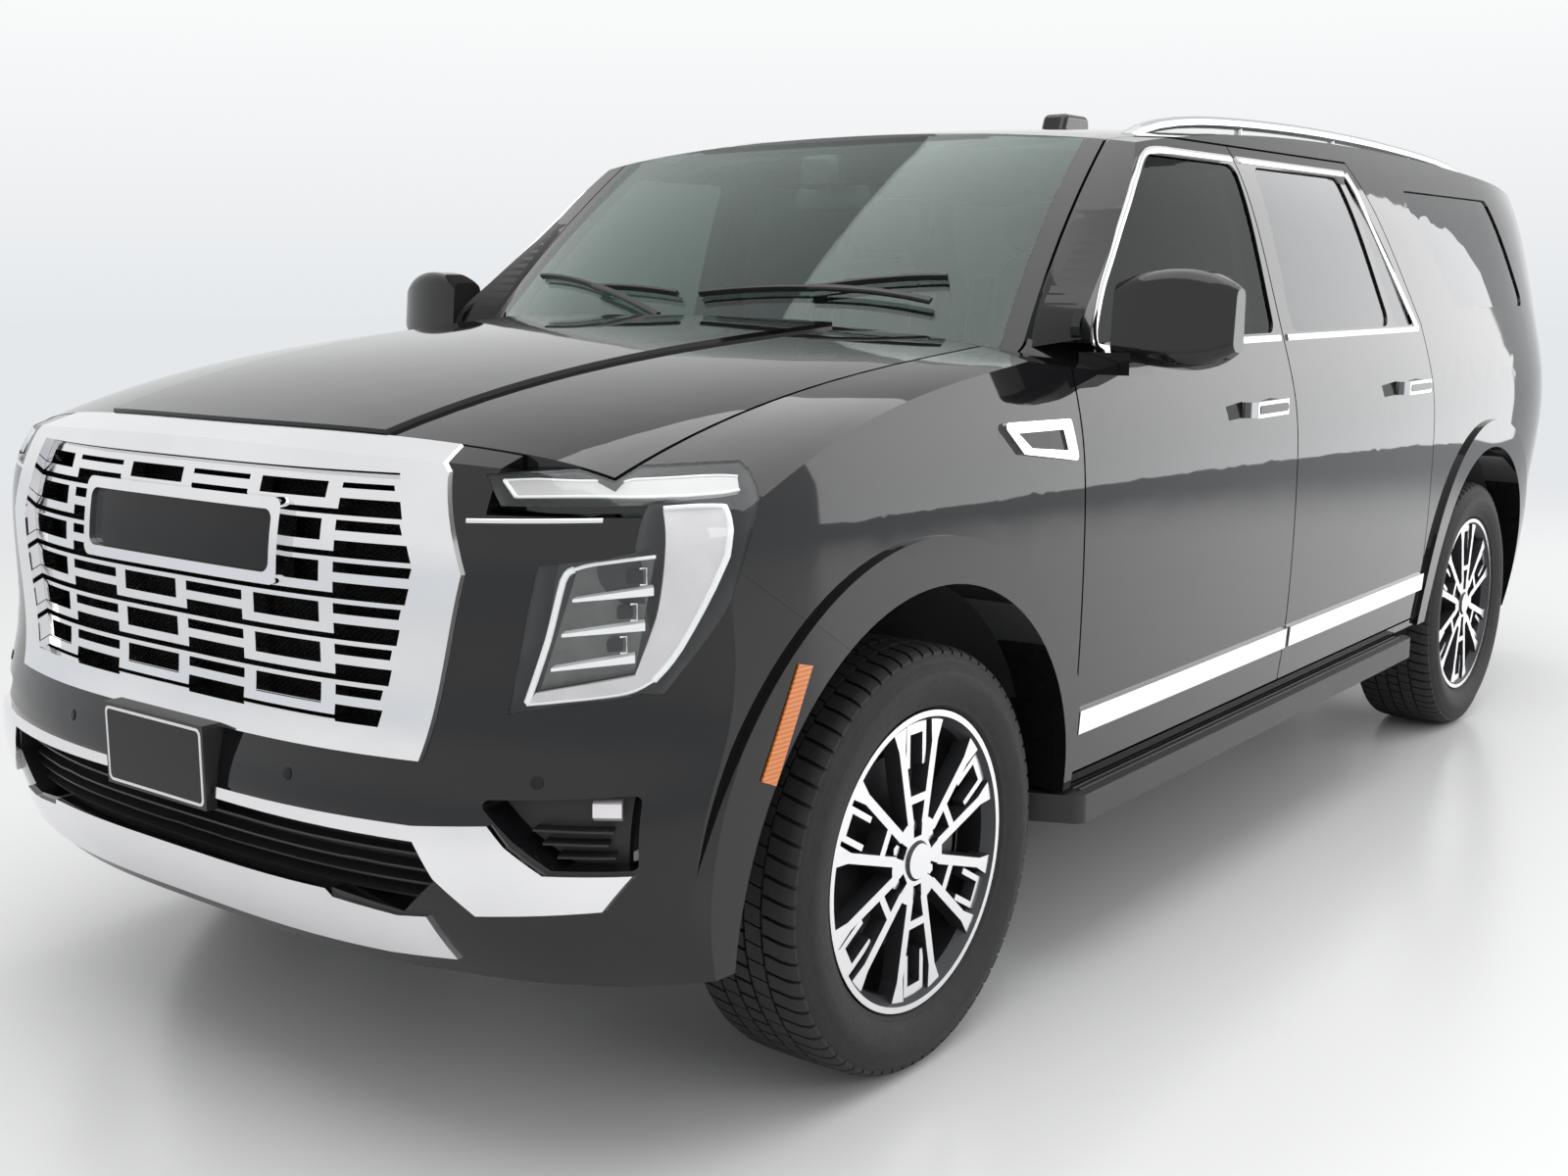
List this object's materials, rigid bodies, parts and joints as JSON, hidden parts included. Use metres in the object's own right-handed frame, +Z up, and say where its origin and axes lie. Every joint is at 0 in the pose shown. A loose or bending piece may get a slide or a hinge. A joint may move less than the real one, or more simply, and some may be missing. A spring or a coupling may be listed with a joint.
{
  "type": "full-size sport utility vehicle",
  "caption": "Long-wheelbase sport utility vehicle with hinged doors, hood and tailgate, steered front wheels and a three-row cabin.",
  "frame": {"origin": "on the ground, at the middle of the overall length and width", "axes": "+X towards the nose, +Y towards the vehicle's left side, +Z up"},
  "size_m": [5.72, 2.537, 2.016],
  "materials": {
    "paint": "gloss black paint",
    "chrome": "bright chrome",
    "glass": "clear green tinted glass",
    "privacy_glass": "dark privacy glass",
    "lamp": "clear lamp lens",
    "tail_lamp": "red lens",
    "black_plastic": "black grained plastic",
    "amber": "amber lens",
    "gloss_black": "gloss black plastic",
    "tyre": "black rubber",
    "rim": "machined alloy",
    "satin_rail": "satin alloy",
    "frame_steel": "black chassis paint",
    "running_gear": "bare cast metal",
    "floor": "dark underbody coat",
    "trim": "soft dark cabin trim",
    "seat": "dark leather"
  },
  "bodies": {
    "body": {"arch_liners": "black_plastic", "body_side_left": "paint", "body_side_right": "paint", "chassis_frame": "frame_steel", "cowl_panel": "black_plastic", "dashboard": "trim", "driveline": "running_gear", "engine_block": "running_gear", "exhaust": "running_gear", "fender_vents": "gloss_black", "floor_pan": "floor", "front_brightwork": "chrome", "front_bumper": "paint", "front_fenders": "paint", "front_seats": "seat", "front_suspension": "running_gear", "grille_backing": "black_plastic", "grille_bars": "chrome", "grille_plaque": "gloss_black", "headlamps": "lamp", "lower_intake": "black_plastic", "plate_holder": "black_plastic", "quarter_glass": "privacy_glass", "radiator_support": "frame_steel", "rear_bumper": "paint", "rear_seats": "seat", "rear_suspension": "running_gear", "roof_panel": "paint", "roof_rails": "satin_rail", "running_boards": "black_plastic", "side_markers": "amber", "tail_lamps": "tail_lamp", "windshield": "glass"},
    "hood": {"hood": "paint"},
    "tailgate": {"tailgate": "paint", "tailgate_glass": "privacy_glass"},
    "steering_wheel": {"steering_wheel": "trim"},
    "front_door_left": {"front_door_left": "paint", "front_glass_left": "glass", "front_door_trim_left": "chrome"},
    "rear_door_left": {"rear_door_left": "paint", "rear_glass_left": "privacy_glass", "rear_door_trim_left": "chrome"},
    "knuckle_left": {"knuckle_left": "running_gear"},
    "front_wheel_left": {"tyre_front_left": "tyre", "rim_front_left": "rim"},
    "rear_wheel_left": {"tyre_rear_left": "tyre", "rim_rear_left": "rim"},
    "front_door_right": {"front_door_right": "paint", "front_glass_right": "glass", "front_door_trim_right": "chrome"},
    "rear_door_right": {"rear_door_right": "paint", "rear_glass_right": "privacy_glass", "rear_door_trim_right": "chrome"},
    "knuckle_right": {"knuckle_right": "running_gear"},
    "front_wheel_right": {"tyre_front_right": "tyre", "rim_front_right": "rim"},
    "rear_wheel_right": {"tyre_rear_right": "tyre", "rim_rear_right": "rim"}
  },
  "joints": [
    {"name": "front_door_left_hinge", "type": "hinge", "parent": "body", "child": "front_door_left", "pos_m": [1.33, 1.0325, 0.9], "axis": [0, 0, -1], "range_deg": [0, 65]},
    {"name": "rear_door_left_hinge", "type": "hinge", "parent": "body", "child": "rear_door_left", "pos_m": [0.177, 1.0325, 0.9], "axis": [0, 0, -1], "range_deg": [0, 65]},
    {"name": "steer_left", "type": "hinge", "parent": "body", "child": "knuckle_left", "pos_m": [1.875, 0.842, 0.417], "axis": [0, 0, 1], "range_deg": [-32, 32]},
    {"name": "front_wheel_left_spin", "type": "hinge", "parent": "knuckle_left", "child": "front_wheel_left", "pos_m": [1.875, 0.87, 0.417], "axis": [0, 1, 0], "continuous": true},
    {"name": "rear_wheel_left_spin", "type": "hinge", "parent": "body", "child": "rear_wheel_left", "pos_m": [-1.531, 0.87, 0.417], "axis": [0, 1, 0], "continuous": true},
    {"name": "front_door_right_hinge", "type": "hinge", "parent": "body", "child": "front_door_right", "pos_m": [1.33, -1.0325, 0.9], "axis": [0, 0, 1], "range_deg": [0, 65]},
    {"name": "rear_door_right_hinge", "type": "hinge", "parent": "body", "child": "rear_door_right", "pos_m": [0.177, -1.0325, 0.9], "axis": [0, 0, 1], "range_deg": [0, 65]},
    {"name": "steer_right", "type": "hinge", "parent": "body", "child": "knuckle_right", "pos_m": [1.875, -0.842, 0.417], "axis": [0, 0, 1], "range_deg": [-32, 32]},
    {"name": "front_wheel_right_spin", "type": "hinge", "parent": "knuckle_right", "child": "front_wheel_right", "pos_m": [1.875, -0.87, 0.417], "axis": [0, 1, 0], "continuous": true},
    {"name": "rear_wheel_right_spin", "type": "hinge", "parent": "body", "child": "rear_wheel_right", "pos_m": [-1.531, -0.87, 0.417], "axis": [0, 1, 0], "continuous": true},
    {"name": "hood_hinge", "type": "hinge", "parent": "body", "child": "hood", "pos_m": [1.5, 0, 1.4311], "axis": [0, -1, 0], "range_deg": [0, 48]},
    {"name": "tailgate_hinge", "type": "hinge", "parent": "body", "child": "tailgate", "pos_m": [-2.608, 0, 1.87365], "axis": [0, 1, 0], "range_deg": [0, 80]},
    {"name": "steering_wheel_turn", "type": "hinge", "parent": "body", "child": "steering_wheel", "pos_m": [0.905, 0.385, 1.18], "axis": [-0.8829, 0, 0.4695], "range_deg": [-515, 515]}
  ],
  "couplings": [
    {"joint": "steer_right", "follows": "steer_left", "ratio": 1},
    {"joint": "steering_wheel_turn", "follows": "steer_left", "ratio": 16}
  ]
}
